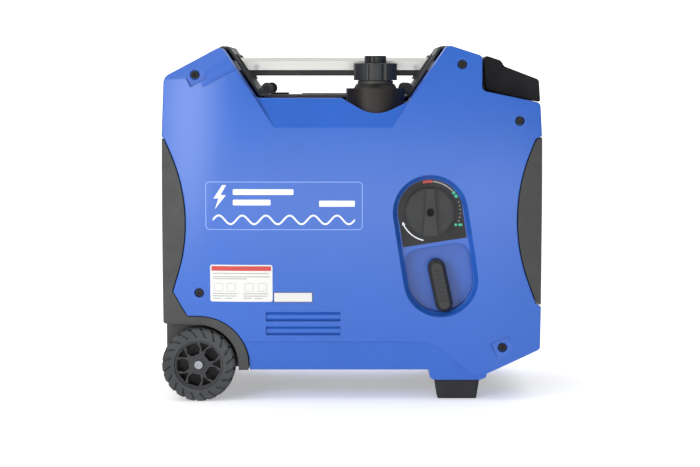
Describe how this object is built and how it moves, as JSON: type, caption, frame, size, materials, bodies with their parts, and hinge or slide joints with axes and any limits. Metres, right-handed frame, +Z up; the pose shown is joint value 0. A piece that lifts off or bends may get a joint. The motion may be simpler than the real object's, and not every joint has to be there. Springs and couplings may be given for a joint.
{
  "type": "inverter generator",
  "caption": "Suitcase petrol inverter generator with blue side shells, twin carrying rails, telescopic tow handle, wheels, recoil starter and fuel dial.",
  "frame": {"origin": "on the floor, under the middle of the machine's bounding box", "axes": "+X towards the control panel and tow handle end, -Y the recoil starter side, +Y the service door side, +Z up"},
  "size_m": [0.5716, 0.33, 0.5319],
  "materials": {
    "shell_blue": "painted blue textured plastic",
    "cover_black": "fine grained black plastic",
    "panel_black": "smooth satin black plastic",
    "knob_black": "grained black plastic",
    "rail_aluminium": "satin anodised extrusion",
    "cast_aluminium": "as cast",
    "steel": "plain steel",
    "screw_black": "black oxide screws",
    "stator_copper": "laminations with copper windings",
    "rubber": "plain black rubber",
    "tyre": "hard black tyre",
    "rim_black": "black plastic rim",
    "tank": "blow moulded fuel tank",
    "tray_steel": "black painted sheet",
    "muffler_steel": "heat stained sheet steel",
    "rope": "braided starter rope",
    "lens": "dark display window",
    "button_green": "green push button",
    "button_red": "red reset button",
    "earth_brass": "brass earth stud with a plastic grip"
  },
  "bodies": {
    "machine": {"starter_side_shell": "shell_blue", "service_side_shell": "shell_blue", "service_door": "shell_blue", "rear_end_cover": "cover_black", "front_end_frame": "cover_black", "rear_tower_cover": "cover_black", "front_tower_cover": "cover_black", "top_deck": "cover_black", "filler_surround": "cover_black", "rail_grip_strips": "panel_black", "handle_rails": "rail_aluminium", "cover_screws": "steel", "shell_screws": "screw_black", "dial_plate": "panel_black", "fuel_valve": "panel_black", "fuel_hose": "rubber", "rope_guide": "panel_black", "recoil_housing": "tray_steel", "fan_shroud": "panel_black", "stator": "stator_copper", "crankcase": "cast_aluminium", "cylinder": "cast_aluminium", "rocker_cover": "tray_steel", "spark_plug": "rubber", "oil_dipstick": "panel_black", "carburettor": "cast_aluminium", "air_cleaner": "panel_black", "muffler": "muffler_steel", "fuel_tank": "tank", "base_tray": "tray_steel", "engine_mounts": "rubber", "rubber_feet": "rubber", "wheel_axle": "steel", "inverter_module": "cast_aluminium", "control_panel": "panel_black", "display_lens": "lens", "panel_sockets": "panel_black", "earth_terminal": "earth_brass"},
    "wheel_starter_side": {"tyre_starter_side": "tyre", "rim_starter_side": "rim_black"},
    "wheel_service_side": {"tyre_service_side": "tyre", "rim_service_side": "rim_black"},
    "tow_handle": {"tow_handle_tubes": "steel", "tow_handle_grip": "knob_black"},
    "tow_release": {"tow_handle_release": "panel_black"},
    "cap_lift": {"fuel_cap_core": "panel_black"},
    "cap": {"fuel_cap": "knob_black"},
    "cap_vent": {"fuel_cap_vent_lever": "knob_black"},
    "fuel_dial": {"fuel_dial_knob": "knob_black"},
    "starter_grip": {"recoil_grip": "knob_black", "recoil_rope": "rope"},
    "starter_reel": {"recoil_pulley": "panel_black"},
    "rotating_group": {"crankshaft": "steel", "rotor": "steel", "cooling_fan": "panel_black"},
    "socket_flap_1": {"socket_cover_1": "panel_black"},
    "socket_flap_2": {"socket_cover_2": "panel_black"},
    "start_key": {"start_button": "button_green"},
    "breaker_key": {"breaker_button": "button_red"},
    "eco_key": {"eco_rocker": "panel_black"}
  },
  "joints": [
    {"name": "wheel_starter_side_roll", "type": "hinge", "parent": "machine", "child": "wheel_starter_side", "pos_m": [-0.231, -0.144, 0.055], "axis": [0, 1, 0], "continuous": true},
    {"name": "wheel_service_side_roll", "type": "hinge", "parent": "machine", "child": "wheel_service_side", "pos_m": [-0.231, 0.144, 0.055], "axis": [0, 1, 0], "continuous": true},
    {"name": "tow_handle_slide", "type": "slide", "parent": "machine", "child": "tow_handle", "axis": [1, 0, 0], "range_m": [0, 0.3]},
    {"name": "tow_release_press", "type": "slide", "parent": "tow_handle", "child": "tow_release", "axis": [0, 0, -1], "range_m": [0, 0.004], "stiffness_N_per_m": 600},
    {"name": "cap_lift_slide", "type": "slide", "parent": "machine", "child": "cap_lift", "axis": [0, 0, 1], "range_m": [0, 0.05]},
    {"name": "cap_turn", "type": "hinge", "parent": "cap_lift", "child": "cap", "pos_m": [0.034, -0.104, 0.49], "axis": [0, 0, 1], "range_deg": [0, 360]},
    {"name": "cap_vent_turn", "type": "hinge", "parent": "cap", "child": "cap_vent", "pos_m": [0.034, -0.104, 0.51], "axis": [0, 0, -1], "range_deg": [0, 90]},
    {"name": "fuel_dial_turn", "type": "hinge", "parent": "machine", "child": "fuel_dial", "pos_m": [0.1154, -0.155, 0.2846], "axis": [0, 1, 0], "range_deg": [0, 120]},
    {"name": "starter_pull", "type": "slide", "parent": "machine", "child": "starter_grip", "axis": [0, -1, 0], "range_m": [0, 0.13], "stiffness_N_per_m": 60},
    {"name": "starter_reel_turn", "type": "hinge", "parent": "machine", "child": "starter_reel", "pos_m": [0.1365, 0, 0.216], "axis": [-1, 0, 0], "range_deg": [0, 178]},
    {"name": "engine_spin", "type": "hinge", "parent": "machine", "child": "rotating_group", "pos_m": [0.05, 0, 0.216], "axis": [1, 0, 0], "continuous": true},
    {"name": "socket_flap_1_swing", "type": "hinge", "parent": "machine", "child": "socket_flap_1", "pos_m": [0.2774, -0.062, 0.236], "axis": [0, -1, 0], "range_deg": [0, 100], "stiffness_Nm_per_rad": 0.02},
    {"name": "socket_flap_2_swing", "type": "hinge", "parent": "machine", "child": "socket_flap_2", "pos_m": [0.2774, 0.004, 0.236], "axis": [0, -1, 0], "range_deg": [0, 100], "stiffness_Nm_per_rad": 0.02},
    {"name": "start_key_press", "type": "slide", "parent": "machine", "child": "start_key", "axis": [-1, 0, 0], "range_m": [0, 0.003], "stiffness_N_per_m": 600},
    {"name": "breaker_key_press", "type": "slide", "parent": "machine", "child": "breaker_key", "axis": [-1, 0, 0], "range_m": [0, 0.003], "stiffness_N_per_m": 600},
    {"name": "eco_key_tilt", "type": "hinge", "parent": "machine", "child": "eco_key", "pos_m": [0.273, 0.032, 0.345], "axis": [0, 1, 0], "range_deg": [0, 14]}
  ],
  "couplings": [
    {"joint": "starter_reel_turn", "follows": "starter_pull", "rad_per_m": 23.809}
  ]
}
